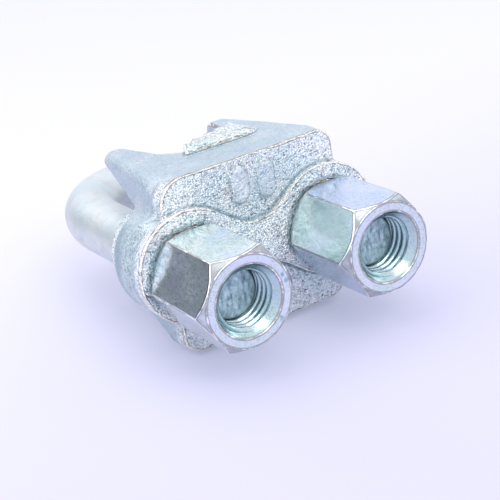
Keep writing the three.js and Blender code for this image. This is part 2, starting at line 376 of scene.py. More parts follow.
def mesh_object(name, vertices, faces, offset, layers):
    """An object from millimetre vertices, moved by offset, with its point attributes."""
    mesh = bpy.data.meshes.new(name)
    points = (np.asarray(vertices) + np.asarray(offset)) * MM
    mesh.from_pydata(points.tolist(), [], [list(f) for f in faces])
    mesh.polygons.foreach_set("use_smooth", [True] * len(mesh.polygons))
    for layer, values in layers.items():
        attribute = mesh.attributes.new(layer, "FLOAT", "POINT")
        attribute.data.foreach_set("value", np.asarray(values, np.float32))
    mesh.update()
    made = bpy.data.objects.new(name, mesh)
    bpy.context.scene.collection.objects.link(made)
    return made


def on_surface(points):
    """Moves points onto the saddle's surface and gives its outward directions there."""
    for _ in range(3):
        slope = gradient(saddle_distance, points)
        size = np.maximum((slope ** 2).sum(1), 0.25)
        step = np.clip(saddle_distance(points) / size, -0.5, 0.5)
        points = points - slope * step[:, None]
    normal = gradient(saddle_distance, points)
    return points, normal / np.linalg.norm(normal, axis=1)[:, None]


def saddle_layers(points, normal):
    """How worn and grainy the casting is at each point, where shade is painted in its inner corners,
    beside the nuts, round the size marks and on the barrels' sides, and where its raw lips and beads are.
    """
    x, y, z = points[:, 0], points[:, 1], points[:, 2]
    from_leg = np.abs(x) - LEG_X
    outer_side = smoothstep(34, 40, np.abs(x))
    from_mark = mark_outline(x, z)
    on_marks = smoothstep(11, 9, np.abs(x)) * smoothstep(12, 14, z) * (y < PAD_FACE + 0.2)
    on_bead = smoothstep(2.9, 2.5, np.hypot(from_leg, z) - LEG_HOLE_RADIUS)
    on_bead = on_bead * smoothstep(1.2, 1.8, y - BARREL_BACK) * smoothstep(-3, 3, from_leg)

    wear = edge_sharpness(saddle_distance, points, normal, 1.0)
    wear = wear * (1 - 0.35 * smoothstep(22, 30, y))
    # The worn edge of the seats breaks off where the left barrel runs into the web.
    break_away = np.hypot(x + 11.5, z - 11.5)
    wear = wear * smoothstep(4.0, 8.0, break_away)
    wear = wear * (1 - 0.7 * on_marks)

    # Painted shade: darker in inner corners, beside the upper side of each nut and in a ring round the
    # size marks.
    painted_shade = -edge_sharpness(saddle_distance, points, normal, 1.6)
    nut_shade = smoothstep(18.5, 15.5, np.hypot(from_leg, z + LEG_DROP)) * smoothstep(1.5, 0.5, y)
    nut_shade = nut_shade * smoothstep(-13, -5, z)
    painted_shade = np.maximum(painted_shade, 1.1 * nut_shade)
    mark_shade = smoothstep(-0.5, 0.2, from_mark) * smoothstep(1.5, 0.6, from_mark) * smoothstep(3, 2, y)
    painted_shade = np.maximum(painted_shade, 0.62 * mark_shade)
    # Painted shade on the sides of the barrels, as dark as in the hollows.
    painted_shade = np.maximum(painted_shade, 0.80 * outer_side * smoothstep(1.5, 5, y) * (1 - on_bead))

    lip = smoothstep(0.2, 0.9, np.abs(z) - end_half_height(y, x * np.sign(z)))
    lip = np.maximum(lip, 0.8 * on_bead)
    end_face = smoothstep(0.75, 0.95, np.abs(normal[:, 2])) * smoothstep(2.0, 2.6, y)
    # The raw skin ends at a wavy border behind the seats, further back on the barrels' sides.
    border = 7.5 + 6.0 * outer_side + 1.5 * lattice_noise(points, 5, 1)
    fade = 1.2 + 3.3 * outer_side
    rough = 1 - smoothstep(border - fade, border + fade, y)
    rough = np.clip(rough * (1 - end_face) + lip, 0, 1)
    grain = (0.18 + 0.82 * rough) * (1 - 0.55 * on_marks * smoothstep(0.2, -0.6, from_mark))
    return {"wear": wear, "painted_shade": painted_shade, "grain": grain, "lip": lip}


def cast_skin(points, normal, grain):
    """Points moved by the casting's lumps, less so on the seats, and kept inside the CAD box."""
    y = points[:, 1]
    lumps = 0.10 * lattice_noise(points, 2.2, 2) + 0.07 * lattice_noise(points, 1.25, 3)
    swell = 0.16 * lattice_noise(points, 11, 4)
    from_axis = np.hypot(np.abs(points[:, 0]) - LEG_X, points[:, 2])
    clear_of_nut = smoothstep(0.5, 1.2, from_axis - NUT_SEAT_RADIUS)
    free = np.where(y < 0.4, clear_of_nut, 1)
    deepest = -0.17
    move = np.clip((lumps * grain + swell) * free, deepest, 1) - 0.12 * free
    points = points + normal * move[:, None]
    reach_x = SADDLE_HIGH[0] - INSIDE_BOX
    reach_z = LIP_TOP - INSIDE_BOX
    points[:, 0] = np.clip(points[:, 0], -reach_x, reach_x)
    points[:, 2] = np.clip(points[:, 2], -reach_z, reach_z)
    return points


def saddle_piece():
    reach = LEG_X + BOSS_RADIUS + 2 * GRID_STEP
    top = LIP_TOP + 2 * GRID_STEP
    low = (-reach, -2 * GRID_STEP, -top)
    high = (reach, HORN_TIP + HORN_EXTRA + 2 * GRID_STEP, top)
    points, quads = surface_nets(saddle_distance, low, high, GRID_STEP)
    points, normal = on_surface(points)
    layers = saddle_layers(points, normal)
    points = cast_skin(points, normal, layers["grain"])
    piece = mesh_object("cast_saddle", points, quads, (0, SEAT_Y, SADDLE_MIDDLE_Z), layers)
    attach(piece, "saddle")
    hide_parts("saddle")
    return piece


# ---- Threads ----
def thread_share(y, turn, widen):
    """1 at the crest of the bolt's thread and 0 at its root. turn is measured from +Z towards +X."""
    place = (y - BOLT_END) / THREAD_PITCH - turn / (2 * math.pi)
    away = np.abs(place - np.round(place))
    crest = 0.07 + widen
    root = 0.36 + widen
    return np.clip((root - away) / (root - crest), 0, 1)


def loop_faces(rings, around, closed):
    """Quads between rings of points, each ring around points long."""
    first = np.arange(rings if closed else rings - 1)
    a = first[:, None] * around + np.arange(around)
    b = (first[:, None] + 1) % rings * around + np.arange(around)
    return np.stack([a, np.roll(a, -1, 1), np.roll(b, -1, 1), b], axis=-1).reshape(-1, 4)


# ---- Nuts ----
def hexagon_angles():
    flat = np.linspace(-1, 1, 18)
    edges = 30 - np.array([3.6, 2.9, 2.2, 1.6, 1.0, 0.5, 0.0])
    half = np.concatenate([flat[9:] * 26, edges[:-1]])
    sector = np.concatenate([-half[::-1], half])
    return np.concatenate([sector + 60 * i for i in range(6)])


def hexagon_radius(degrees, corner_round):
    """Distance from the axis to the side of the nut. Flats face 0, 60, 120 ... degrees."""
    half_width = WIDTH_ACROSS_FLATS / 2
    away = np.abs((degrees + 30) % 60 - 30)
    middle = (half_width - corner_round) / math.cos(math.pi / 6)
    tangent = math.degrees(math.atan((half_width - corner_round) * math.tan(math.pi / 6) / half_width))
    delta = np.radians(30 - away)
    on_flat = half_width / np.cos(np.radians(away))
    under = np.maximum(corner_round ** 2 - (middle * np.sin(delta)) ** 2, 0)
    on_corner = middle * np.cos(delta) + np.sqrt(under)
    return np.where(away < tangent, on_flat, on_corner)


def rounded_path(corners, radii, steps):
    """Rounds the corners of many open paths at once: corners is (paths, points, 2)."""
    rows = [corners[:, 0]]
    for i in range(1, corners.shape[1] - 1):
        before = corners[:, i - 1] - corners[:, i]
        after = corners[:, i + 1] - corners[:, i]
        length_before = np.linalg.norm(before, axis=1)
        length_after = np.linalg.norm(after, axis=1)
        u = before / np.maximum(length_before, 1e-6)[:, None]
        v = after / np.maximum(length_after, 1e-6)[:, None]
        turn = np.arccos(np.clip((u * v).sum(1), -1, 1))
        reach = radii[i] / np.maximum(np.tan(turn / 2), 1e-3)
        reach = np.minimum(reach, 0.45 * np.minimum(length_before, length_after))
        for t in np.linspace(0, 1, steps):
            start = corners[:, i] + u * reach[:, None]
            end = corners[:, i] + v * reach[:, None]
            rows.append((1 - t) ** 2 * start + 2 * t * (1 - t) * corners[:, i] + t * t * end)
    rows.append(corners[:, -1])
    return np.stack(rows, axis=1)


def between(path, limits, count):
    """Adds evenly spaced points between two neighbours of each path."""
    a, b = path[:, limits], path[:, limits + 1]
    t = np.linspace(0, 1, count + 2)[1:-1]
    extra = a[:, None] * (1 - t)[None, :, None] + b[:, None] * t[None, :, None]
    return np.concatenate([path[:, : limits + 1], extra, path[:, limits + 1:]], axis=1)


def nut_outside(side_radius, front_side, back_side):
    """The nut's outside in each direction, from its mouth over the side to its seat, as radius and y."""
    front = -NUT_HEIGHT
    corners = [
        (COUNTERSINK_RADIUS, front + COUNTERSINK_DEPTH),
        (NUT_MOUTH_RADIUS, front),
        (NUT_FACE_RADIUS, front),
        (side_radius, front_side),
        (side_radius, back_side),
        (NUT_SEAT_RADIUS - 0.05, 0),
        (NUT_MOUTH_RADIUS, 0),
        (COUNTERSINK_RADIUS, -COUNTERSINK_DEPTH),
    ]
    one = np.ones(len(side_radius))
    profile = np.stack([np.stack([one * radius, one * y], 1) for radius, y in corners], axis=1)
    outside = rounded_path(profile, PROFILE_ROUNDS, ROUND_STEPS)
    # More points along the flank, the front chamfer and the front face.
    for corner, count in ((3, 40), (2, 3), (1, 4)):
        outside = between(outside, ROUND_STEPS * corner, count)
    return outside


def nut_bore(turn):
    """The nut's thread and countersinks in each direction, as radius and y, and where it is thread."""
    front = -NUT_HEIGHT
    from_z = math.pi / 2 - turn
    y = np.arange(front + 0.95, -0.9, THREAD_PITCH / THREAD_STEPS)[::-1]
    front_cone = COUNTERSINK_RADIUS - (y - front - COUNTERSINK_DEPTH)
    back_cone = COUNTERSINK_RADIUS + y + COUNTERSINK_DEPTH
    cone = np.maximum(front_cone, back_cone)
    share = thread_share(y[None, :], from_z[:, None], 0.03)
    thread = THREAD_ROOT + 0.2 + (THREAD_CREST - THREAD_ROOT + 0.05) * share
    radius = np.maximum(thread, cone[None, :])
    bore = np.stack([radius, np.tile(y, (len(turn), 1))], axis=-1)
    return bore, thread > cone[None, :]


def nut_layers(degrees, skin, outside_count, is_thread, side_radius, front_side, back_side):
    """Where the nut is worn, where shade is painted in its thread grooves and countersinks, where it is
    flat and bevelled, and which flat a point belongs to.
    """
    front = -NUT_HEIGHT
    radius, y = skin[..., 0], skin[..., 1]
    on_outside = (np.arange(skin.shape[1]) < outside_count)[None, :] * np.ones(len(degrees))[:, None]
    from_front = y - front_side[:, None]
    from_back = y - back_side[:, None]
    on_flank = smoothstep(-0.3, 0.1, from_front) * smoothstep(0.3, -0.1, from_back)
    near_corner = np.cos(np.radians((degrees + 30) % 60 - 30))
    corner_edge = smoothstep(0.882, 0.868, near_corner)[:, None] * on_flank
    corner_edge = corner_edge * (0.6 + 0.4 * smoothstep(0.6 * front, 0.9 * front, y))
    inside_flat = side_radius[:, None] - radius
    ring = np.minimum(np.hypot(from_front, inside_flat), np.hypot(from_back, inside_flat))
    ring_edge = smoothstep(0.5, 0.12, ring)
    face_edge = smoothstep(0.45, 0.1, np.hypot(radius - NUT_FACE_RADIUS, y - front))
    mouth_edge = smoothstep(0.40, 0.1, np.hypot(radius - NUT_MOUTH_RADIUS, y - front))
    face_edge = 0.7 * np.maximum(face_edge, mouth_edge)
    wear = np.clip(np.maximum(np.maximum(corner_edge, ring_edge), face_edge), 0, 1) * on_outside
    in_thread = np.concatenate([np.zeros((len(degrees), outside_count)), is_thread], axis=1)
    thread = in_thread * smoothstep(THREAD_ROOT, THREAD_CREST, radius)
    # The thread layer carries painted shade: full in the thread grooves, lighter in the countersinks.
    countersink = smoothstep(NUT_MOUTH_RADIUS, NUT_MOUTH_RADIUS - 0.5, radius)
    bevel = smoothstep(NUT_FACE_RADIUS, NUT_FACE_RADIUS + 0.3, radius) * (1 - on_flank) * on_outside
    facet = np.round(degrees / 60) % 6
    return {
        "wear": wear.ravel(),
        "thread": np.maximum(thread, 0.45 * countersink).ravel(),
        "facet": np.repeat(facet, skin.shape[1]),
        "flank": (on_flank * on_outside).ravel(),
        "bevel": bevel.ravel(),
    }


def nut_piece(name, node, side, corner_degrees):
    """A hexagon nut: its outside, chamfers, countersinks and thread are one closed skin."""
    degrees = hexagon_angles()
    turn = math.radians(corner_degrees + 30) + np.radians(degrees)
    side_radius = hexagon_radius(degrees, CORNER_ROUND)
    front_side = -NUT_HEIGHT + (side_radius - NUT_FACE_RADIUS) * CHAMFER_STEEPNESS
    back_side = np.minimum(-(side_radius - NUT_SEAT_RADIUS) * CHAMFER_STEEPNESS, -0.02)
    outside = nut_outside(side_radius, front_side, back_side)
    bore, is_thread = nut_bore(turn)
    skin = np.concatenate([outside, bore], axis=1)
    count = outside.shape[1]
    layers = nut_layers(degrees, skin, count, is_thread, side_radius, front_side, back_side)

    radius, y = skin[..., 0], skin[..., 1]
    spread = [radius * np.cos(turn)[:, None], y, radius * np.sin(turn)[:, None]]
    points = np.stack(spread, axis=-1).reshape(-1, 3)
    push = 0.03 * lattice_noise(points + 40 * side, 4.0, 11)
    nicks = nick_depth(points, name)
    if side < 0:
        knocks = knock_depth(points)
        points = points + np.array([0, 1, 0]) * knocks[:, None]
        # The knocks also get painted shade, through the thread layer.
        layers["thread"] = np.maximum(layers["thread"], np.minimum(4 * knocks, 1))
    outward = points * np.array([1, 0, 1])
    outward /= np.maximum(np.linalg.norm(outward, axis=1), 1e-6)[:, None]
    radius = radius.ravel()
    on_outside = np.tile(np.arange(skin.shape[1]) < count, len(degrees))
    move = np.where(on_outside, push * smoothstep(14.7, 15.2, radius) - nicks - 0.03, 0)
    points = points + outward * move[:, None]

    faces = loop_faces(*skin.shape[:2], True)
    offset = (side * LEG_X, SEAT_Y - NUT_GAP, LEG_Z)
    piece = mesh_object(name, points, faces, offset, layers)
    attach(piece, node)
    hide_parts(node)
    return piece


def nick_depth(points, name):
    """Small nicks along the nut's outer edges."""
    rng = np.random.default_rng(RANDOM_SEED + sum(map(ord, name)))
    depth = np.zeros(len(points))
    rim = np.linalg.norm(points[:, [0, 2]], axis=1)
    for _ in range(NICKS):
        turn = rng.uniform(0, 2 * math.pi)
        near_front = rng.random() < 0.6
        y = -NUT_HEIGHT + abs(rng.normal(0, 2.5)) if near_front else rng.uniform(-NUT_HEIGHT, 0)
        radius = rng.uniform(15.0, 17.0)
        size = rng.uniform(0.5, 1.1)
        centre = np.array([radius * math.cos(turn), y, radius * math.sin(turn)])
        away = np.linalg.norm(points - centre, axis=1)
        depth += np.where(rim > 14.9, 0.22 * size * smoothstep(size, 0, away), 0)
    return depth


def knock_depth(points):
    """Two knocks beside each other on the nut's face, and a cut across its rim."""
    depth = np.zeros(len(points))
    for radius, degrees, size in FACE_KNOCKS:
        turn = math.radians(degrees)
        centre = np.array([radius * math.cos(turn), -NUT_HEIGHT, radius * math.sin(turn)])
        away = np.linalg.norm(points - centre, axis=1)
        depth += 0.4 * size * smoothstep(size, 0.1, away)
    return depth


# ---- U-bolt ----
def bolt_path():
    """Centre line as points, tangents and the distance behind the seats, left leg end to right leg end."""
    fine = np.arange(BOLT_END, THREAD_END + 1.2, THREAD_PITCH / THREAD_STEPS)
    plain = np.linspace(fine[-1] + 1.0, BOW_START, 50)
    leg = np.concatenate([fine, plain])
    depth = BOW_BACK - BAR_RADIUS - BOW_START
    angle = np.linspace(0, math.pi, 150)[1:-1]
    left = np.stack([np.full(len(leg), -LEG_X), leg], 1)
    bow = np.stack([-LEG_X * np.cos(angle), BOW_START + depth * np.sin(angle)], 1)
    right = np.stack([np.full(len(leg), LEG_X), leg], 1)[::-1]
    bow_tangent = np.stack([LEG_X * np.sin(angle), depth * np.cos(angle)], 1)
    up = np.tile([0.0, 1.0], (len(leg), 1))
    tangent = np.concatenate([up, bow_tangent, -up])
    tangent /= np.linalg.norm(tangent, axis=1)[:, None]
    return np.concatenate([left, bow, right]), tangent


def leg_radius(y, turn):
    """Radius of a leg: its chamfered end, then the thread, which runs out into the plain bar."""
    share = thread_share(y, turn, 0)
    share = share + (1 - share) * smoothstep(THREAD_END - 3, THREAD_END, y)
    widening = smoothstep(THREAD_END - 1, THREAD_END + 1, y)
    crest = THREAD_CREST + (PLAIN_RADIUS - THREAD_CREST) * widening
    threaded = THREAD_ROOT + (crest - THREAD_ROOT) * share
    end_cone = THREAD_ROOT - 0.3 + 0.9 * (y - BOLT_END)
    return np.minimum(threaded, end_cone)


def sheared_end(rim, end):
    """Rings of points from a leg's rim to its middle, rough and a little hollow."""
    middle = rim.mean(0)
    rows = []
    for ring in range(1, CAP_RINGS):
        share_left = 1 - ring / CAP_RINGS
        row = middle + (rim - middle) * share_left
        streaks = row * np.array([2.4, 1, 0.7]) + 90 * end
        rough = 0.25 * lattice_noise(streaks, 2.2, 31) + 0.10 * lattice_noise(row, 1.0, 32)
        bowl = 0.35 * (1 - share_left ** 2)
        row[:, 1] += np.clip(rough + bowl, 0.02, 1) * min(1, ring / 2)
        rows.append(row)
    return rows, middle[None, :] + np.array([[0, 0.35, 0]])


def u_bolt_piece():
    centre, tangent = bolt_path()
    angle = np.linspace(0, 2 * math.pi, AROUND_BAR, endpoint=False)
    across = np.stack([-tangent[:, 1], tangent[:, 0]], 1)
    direction = np.zeros((len(centre), AROUND_BAR, 3))
    direction[..., 0] = across[:, None, 0] * np.cos(angle)
    direction[..., 1] = across[:, None, 1] * np.cos(angle)
    direction[..., 2] = np.sin(angle)
    straight = np.abs(tangent[:, 0]) < 1e-6
    on_thread = straight & (centre[:, 1] < THREAD_END + 2)
    turn = np.arctan2(direction[..., 0], direction[..., 2])
    radius = np.where(on_thread[:, None], leg_radius(centre[:, None, 1], turn), PLAIN_RADIUS)
    axis = np.zeros((len(centre), 1, 3))
    axis[:, 0, 0:2] = centre
    bar = (axis + direction * radius[..., None]).reshape(-1, 3)
    plain = np.repeat(~on_thread, AROUND_BAR)
    dent = 0.05 * lattice_noise(bar, 6, 21) + 0.10 * lattice_noise(bar, 14, 22) - 0.15
    bar = bar + direction.reshape(-1, 3) * (dent * plain)[:, None]

    faces = loop_faces(len(centre), AROUND_BAR, False).tolist()
    points = [bar]
    total = len(bar)
    for end, first in enumerate((0, total - AROUND_BAR)):
        rows, middle = sheared_end(bar[first: first + AROUND_BAR], end)
        order = 1 - 2 * end
        previous = np.arange(first, first + AROUND_BAR)
        for row in rows:
            number = np.arange(total, total + AROUND_BAR)
            quads = np.stack([previous, number, np.roll(number, -1), np.roll(previous, -1)], 1)
            faces += quads[:, ::order].tolist()
            points.append(row)
            previous = number
            total += AROUND_BAR
        tips = np.full(AROUND_BAR, total)
        faces += np.stack([previous, tips, np.roll(previous, -1)], 1)[:, ::order].tolist()
        points.append(middle)
        total += 1
    # The thread layer is low in the thread roots, where the bar's material paints shade.
    thread = np.where(plain, 1, smoothstep(THREAD_ROOT, THREAD_CREST, radius).ravel())
    on_ends = np.ones(total - len(bar))
    layers = {
        "end": np.concatenate([np.zeros(len(bar)), on_ends]),
        "thread": np.concatenate([thread, on_ends]),
    }
    piece = mesh_object("plated_u_bolt", np.concatenate(points), faces, (0, SEAT_Y, LEG_Z), layers)
    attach(piece, "u_bolt")
    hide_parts("u_bolt")
    return piece


# ---- Materials ----
class Nodes:
    """Short calls that add nodes to one material."""

    def __init__(self, name):
        self.material = bpy.data.materials.new(name)
        self.material.use_nodes = True
        self.tree = self.material.node_tree
        self.shader = self.tree.nodes["Principled BSDF"]
        self.place = self.tree.nodes.new("ShaderNodeTexCoord").outputs["Object"]

    def add(self, kind, **inputs):
        node = self.tree.nodes.new(kind)
        for socket, value in inputs.items():
            self.put(node.inputs[socket], value)
        return node

    def put(self, socket, value):
        if isinstance(value, bpy.types.NodeSocket):
            self.tree.links.new(value, socket)
        else:
            socket.default_value = value

    def times(self, a, b):
        return self.maths("MULTIPLY", a, b)

    def noise(self, size, detail=3.0, roughness=0.55, stretch=(1, 1, 1)):
        """Noise whose features are about size metres across, stretched along the axes."""
        mapping = self.add("ShaderNodeMapping", Vector=self.place)
        mapping.inputs["Scale"].default_value = [1 / (size * s) for s in stretch]
        node = self.add("ShaderNodeTexNoise", Vector=mapping.outputs["Vector"])
        node.inputs["Scale"].default_value = 1.0
        node.inputs["Detail"].default_value = detail
        node.inputs["Roughness"].default_value = roughness
        return node.outputs["Fac"]

    def attribute(self, name):
        node = self.tree.nodes.new("ShaderNodeAttribute")
        node.attribute_name = name
        return node.outputs["Fac"]

    def span(self, value, low, high, to_low=0.0, to_high=1.0):
        """Goes smoothly from to_low, where value is low, to to_high, where it is high."""
        node = self.tree.nodes.new("ShaderNodeMapRange")
        node.interpolation_type = "SMOOTHSTEP"
        numbers = {"Value": value, "From Min": low, "From Max": high, "To Min": to_low, "To Max": to_high}
        for socket, number in numbers.items():
            self.put(node.inputs[socket], number)
        return node.outputs["Result"]

    def maths(self, operation, a, b):
        node = self.tree.nodes.new("ShaderNodeMath")
        node.operation = operation
        self.put(node.inputs[0], a)
        self.put(node.inputs[1], b)
        return node.outputs["Value"]

    def mix(self, share, a, b):
        """Colour a, with this share of colour b over it."""
        node = self.tree.nodes.new("ShaderNodeMix")
        node.data_type = "RGBA"
        self.put(node.inputs[0], share)
        for index, colour in ((6, a), (7, b)):
            value = colour if isinstance(colour, bpy.types.NodeSocket) else (*colour, 1.0)
            self.put(node.inputs[index], value)
        return node.outputs[2]

    def bump(self, height, distance, strength=1.0, normal=None):
        node = self.tree.nodes.new("ShaderNodeBump")
        node.inputs["Strength"].default_value = strength
        node.inputs["Distance"].default_value = distance
        self.put(node.inputs["Height"], height)
        if normal is not None:
            self.put(node.inputs["Normal"], normal)
        return node.outputs["Normal"]


def cast_zinc():
    """Zinc on a raw casting: dull where it is smooth, sparkling and specked where it is rough, with
    painted white glints on the rough skin and painted teal shade in its hollows.
    """
    dull, dull_grey = (0.445, 0.54, 0.605), (0.54, 0.605, 0.65)
    bright, bright_white = (0.80, 0.93, 0.97), (0.97, 1.0, 1.0)
    dent_blue = (0.34, 0.50, 0.60)
    speck_blue = (0.11, 0.17, 0.23)
    glint_white = (1.0, 1.0, 1.0)
    shade_teal = (0.10, 0.26, 0.31)
    lip_green = (0.70, 0.84, 0.70)
    rust_brown = (0.42, 0.32, 0.25)
    edge_brown = (0.22, 0.17, 0.15)
    worn_cream = (1.0, 0.97, 0.89)
    m = Nodes("cast_zinc_plate")
    grain = m.attribute("grain")
    lip = m.attribute("lip")
    fine = m.noise(0.00056, 2.0, 0.6)
    coarse = m.noise(0.0015, 3.0, 0.6)
    cloud = m.noise(0.012, 4.0, 0.6)
    smooth_skin = m.mix(m.span(cloud, 0.35, 0.65), dull, dull_grey)
    rough_skin = m.mix(m.span(cloud, 0.40, 0.60), bright, bright_white)
    colour = m.mix(m.span(grain, 0.1, 0.9), smooth_skin, rough_skin)
    colour = m.mix(m.times(m.span(coarse, 0.50, 0.34), 0.44), colour, dent_blue)
    crowd = m.span(coarse, 0.60, 0.40, 0.25, 1.0)
    sown = m.times(crowd, m.span(grain, 0.1, 0.9, 0.34, 1.0))
    speck = m.times(m.span(fine, 0.450, 0.375), sown)
    colour = m.mix(speck, colour, speck_blue)
    # Painted glints: white highlight specks, most of them on the rough skin.
    glint = m.times(m.span(fine, 0.53, 0.60), m.span(grain, 0.1, 0.9, 0.22, 1.0))
    colour = m.mix(glint, colour, glint_white)
    # Painted shade: dark teal in the inner corners, beside the nuts and round the size marks.
    hollow = m.span(m.attribute("painted_shade"), 0.30, 1.2)
    colour = m.mix(m.times(hollow, 0.62), colour, shade_teal)
    colour = m.mix(m.times(lip, 0.22), colour, lip_green)
    rust = m.times(m.span(m.noise(0.004, 5.0, 0.7), 0.59, 0.68), 0.40)
    colour = m.mix(rust, colour, rust_brown)
    # Sharp edges are worn bright, in stretches, with a darker brown beside the worn stretches.
    edge = m.attribute("wear")
    gaps = m.noise(0.0042, 4.0, 0.7)
    wear = m.maths("ADD", edge, m.times(m.maths("SUBTRACT", coarse, 0.5), 1.0))
    wear = m.maths("ADD", wear, m.times(m.maths("SUBTRACT", gaps, 0.5), 1.8))
    beside = m.times(m.span(edge, 0.24, 0.40), m.span(wear, 0.75, 0.50))
    colour = m.mix(m.times(beside, 0.72), colour, edge_brown)
    worn = m.times(m.span(wear, 0.46, 0.72), m.span(edge, 0.33, 0.46))
    colour = m.mix(worn, colour, worn_cream)
    m.put(m.shader.inputs["Base Color"], colour)
    m.shader.inputs["Metallic"].default_value = 0.85
    rough = m.maths("ADD", m.span(coarse, 0.3, 0.7, 0.42, 0.52), m.times(grain, -0.24))
    m.put(m.shader.inputs["Roughness"], m.times(rough, m.span(worn, 0, 1, 1.0, 0.75)))
    low = m.bump(m.times(coarse, m.span(grain, 0.1, 1, 0.20, 1)), 0.0013)
    pits = m.bump(m.times(fine, m.span(grain, 0.1, 1, 0.34, 1)), 0.0011, 1.0, low)
    m.put(m.shader.inputs["Normal"], pits)
    return m.material


def bar_zinc():
    """Zinc on a drawn bar, with faint stains, painted shade in the thread roots and torn, teal ends."""
    plate, plate_grey = (0.60, 0.68, 0.71), (0.69, 0.71, 0.71)
    stain_brown = (0.50, 0.45, 0.44)
    end_teal = (0.44, 0.64, 0.70)
    torn_dark = (0.08, 0.17, 0.20)
    torn_bright = (0.95, 1.0, 1.0)
    groove_shade_teal = (0.20, 0.40, 0.42)
    m = Nodes("bar_zinc_plate")
    fine = m.noise(0.0007, 3.0, 0.6)
    cloud = m.noise(0.011, 5.0, 0.65)
    patch = m.noise(0.005, 5.0, 0.7)
    colour = m.mix(m.span(cloud, 0.35, 0.65), plate, plate_grey)
    colour = m.mix(m.times(m.span(patch, 0.48, 0.66), 0.30), colour, stain_brown)
    end = m.attribute("end")
    colour = m.mix(m.times(end, 0.75), colour, end_teal)
    torn = m.noise(0.0015, 5.0, 0.7, (0.8, 1, 1.4))
    colour = m.mix(m.times(end, m.span(torn, 0.52, 0.38, 0, 0.55)), colour, torn_dark)
    colour = m.mix(m.times(end, m.span(torn, 0.56, 0.66, 0, 0.6)), colour, torn_bright)
    # Painted shade: dark teal deep in the thread roots.
    root = m.span(m.attribute("thread"), 0.5, 0.0)
    colour = m.mix(m.times(root, 0.6), colour, groove_shade_teal)
    m.put(m.shader.inputs["Base Color"], colour)
    m.shader.inputs["Metallic"].default_value = 0.85
    m.put(m.shader.inputs["Roughness"], m.span(m.maths("ADD", fine, patch), 0.7, 1.3, 0.42, 0.56))
    low = m.bump(patch, 0.0004, 0.5)
    m.put(m.shader.inputs["Normal"], m.bump(fine, 0.00012, 0.7, low))
    return m.material


def nut_zinc(name, painted_reflections):
    """Bright zinc on a turned nut. Each of its six flats has a painted reflection of its own, a colour
    standing for what that flat mirrors.
    """
    plate, plate_blue = (0.64, 0.77, 0.77), (0.73, 0.79, 0.81)
    slate = (0.22, 0.27, 0.31)
    speck_pale = (0.90, 0.95, 0.93)
    scratch_pale = (0.92, 0.95, 0.95)
    sheen_violet = (0.78, 0.80, 1.0)
    bevel_reflection_grey = (0.36, 0.38, 0.41)
    groove_shade_teal = (0.10, 0.30, 0.33)
    edge_brown = (0.26, 0.22, 0.20)
    worn_cream = (0.98, 0.96, 0.90)
    m = Nodes(name)
    facet = m.attribute("facet")
    cloud = m.noise(0.009, 4.0, 0.6)
    drawn = m.noise(0.0007, 4.0, 0.65, (1, 3, 1))
    fine = m.noise(0.0005, 2.0, 0.6)
    colour = m.mix(m.span(cloud, 0.35, 0.65), plate, plate_blue)
    # Painted reflections: each flat's sides take the colour of what that flat mirrors.
    for number, painted_reflection in enumerate(painted_reflections):
        at_facet = m.maths("COMPARE", facet, float(number))
        at_facet.node.inputs[2].default_value = 0.45
        colour = m.mix(m.times(at_facet, m.times(m.attribute("flank"), 0.8)), colour, painted_reflection)
    colour = m.mix(m.times(m.span(drawn, 0.46, 0.34), 0.34), colour, slate)
    colour = m.mix(m.span(fine, 0.44, 0.36, 0, 0.35), colour, slate)
    colour = m.mix(m.span(fine, 0.57, 0.65, 0, 0.35), colour, speck_pale)
    scratch = m.noise(0.0006, 2.0, 0.5, (1.0, 26, 1.0))
    colour = m.mix(m.times(m.span(scratch, 0.68, 0.76), 0.6), colour, scratch_pale)
    # Painted sheen: lilac patches standing for uneven reflections across the nut.
    sheen = m.span(m.noise(0.010, 3.0, 0.6, (1, 1.6, 1)), 0.52, 0.62)
    colour = m.mix(m.times(sheen, 0.35), colour, sheen_violet)
    # Painted reflection: the front chamfer is coloured an uneven, darker grey for what it mirrors.
    uneven = m.span(m.noise(0.004, 4.0, 0.6), 0.35, 0.6, 0.25, 0.85)
    colour = m.mix(m.times(m.attribute("bevel"), uneven), colour, bevel_reflection_grey)
    # Painted shade: dark teal in the thread grooves, countersinks and knocks.
    colour = m.mix(m.times(m.attribute("thread"), 0.75), colour, groove_shade_teal)
    # Edges are worn bright, in stretches, with soot between the worn stretches.
    edge = m.attribute("wear")
    wear = m.maths("ADD", edge, m.times(m.noise(0.0030, 4.0, 0.7), 2.0))
    beside = m.times(m.span(edge, 0.05, 0.35), m.span(wear, 1.95, 1.55))
    colour = m.mix(m.times(beside, 0.65), colour, edge_brown)
    worn = m.times(m.span(wear, 1.60, 2.05), m.span(edge, 0.2, 0.6))
    colour = m.mix(worn, colour, worn_cream)
    m.put(m.shader.inputs["Base Color"], colour)
    m.shader.inputs["Metallic"].default_value = 0.92
    m.put(m.shader.inputs["Roughness"], m.span(m.maths("ADD", drawn, cloud), 0.7, 1.3, 0.13, 0.24))
    low = m.bump(cloud, 0.0005, 0.15)
    lines = m.bump(drawn, 0.00004, 0.6, low)
    m.put(m.shader.inputs["Normal"], m.bump(fine, 0.00004, 0.6, lines))
    return m.material


